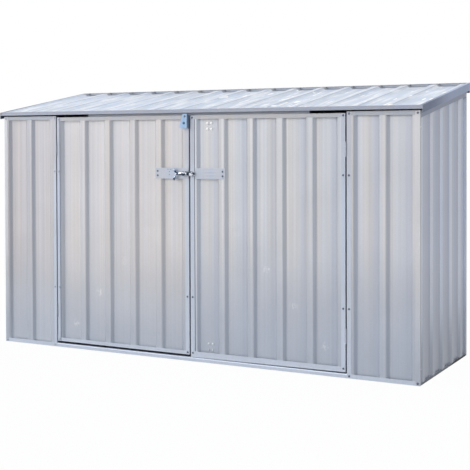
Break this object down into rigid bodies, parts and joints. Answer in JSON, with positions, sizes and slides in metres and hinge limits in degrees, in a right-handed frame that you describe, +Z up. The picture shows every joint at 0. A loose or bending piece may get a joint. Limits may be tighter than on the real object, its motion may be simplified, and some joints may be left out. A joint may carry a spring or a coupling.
{
  "type": "metal tool shed",
  "caption": "Low, shallow shed of ribbed coated steel sheet in folded channel frames, with a lean-to roof that rises to the back, hinged front doors and a sliding pad bolt across them",
  "frame": {"origin": "bottom centre of the bounding box, on the ground plane", "axes": "+X to the right facing the doors, +Y from the doors to the back wall, +Z up"},
  "size_m": [2.262, 0.7628, 1.3191],
  "materials": {
    "wall_sheet": "zinc-aluminium coated sheet, satin, fine spangle",
    "roof_sheet": "zinc-aluminium coated sheet, satin, fine spangle",
    "channel": "zinc-aluminium coated folded channel, satin",
    "roof_cap": "zinc-aluminium coated folded cap, satin",
    "lock_plate": "zinc plated plate, satin",
    "bolt": "bright chromed steel",
    "hardware": "zinc plated steel",
    "catch_tab": "zinc plated sheet with a blue passivated tint"
  },
  "bodies": {
    "shed": {"front_left_panel": "wall_sheet", "front_right_panel": "wall_sheet", "left_side_panel": "wall_sheet", "right_side_panel": "wall_sheet", "rear_left_panel": "wall_sheet", "rear_middle_panel": "wall_sheet", "rear_right_panel": "wall_sheet", "roof_left_sheet": "roof_sheet", "roof_middle_sheet": "roof_sheet", "roof_right_sheet": "roof_sheet", "front_roof_cap": "roof_cap", "rear_roof_cap": "roof_cap", "left_barge_cap": "roof_cap", "right_barge_cap": "roof_cap", "front_base_channels": "channel", "door_sill": "channel", "left_base_channel": "channel", "right_base_channel": "channel", "rear_base_channel": "channel", "front_top_channels": "channel", "left_top_channel": "channel", "right_top_channel": "channel", "rear_top_channel": "channel", "rear_roof_rail": "channel", "door_header": "channel", "left_jamb": "channel", "right_jamb": "channel", "front_corner_channels": "channel", "rear_corner_channels": "channel", "front_panel_braces": "channel", "jamb_hinge_leaves": "hardware"},
    "left_door": {"left_door_sheet": "wall_sheet", "left_door_stiles": "channel", "left_door_rails": "channel", "left_door_braces": "channel", "left_door_hinge_leaves": "hardware", "left_lock_plate": "lock_plate", "door_catch_tab": "catch_tab"},
    "right_door": {"right_door_sheet": "wall_sheet", "right_door_stiles": "channel", "right_door_rails": "channel", "right_door_braces": "channel", "right_door_hinge_leaves": "hardware", "right_lock_plate": "lock_plate", "shoot_bolt_plates": "hardware", "shoot_bolt_rods": "hardware"},
    "pad_bolt": {"pad_bolt": "bolt"}
  },
  "joints": [
    {"name": "left_door_swing", "type": "hinge", "parent": "shed", "child": "left_door", "pos_m": [-0.7815, -0.3581, 0.59], "axis": [0, 0, -1], "range_deg": [0, 135]},
    {"name": "right_door_swing", "type": "hinge", "parent": "shed", "child": "right_door", "pos_m": [0.7815, -0.3581, 0.59], "axis": [0, 0, 1], "range_deg": [0, 135]},
    {"name": "pad_bolt_slide", "type": "slide", "parent": "left_door", "child": "pad_bolt", "axis": [1, 0, 0], "range_m": [0, 0.028]}
  ]
}
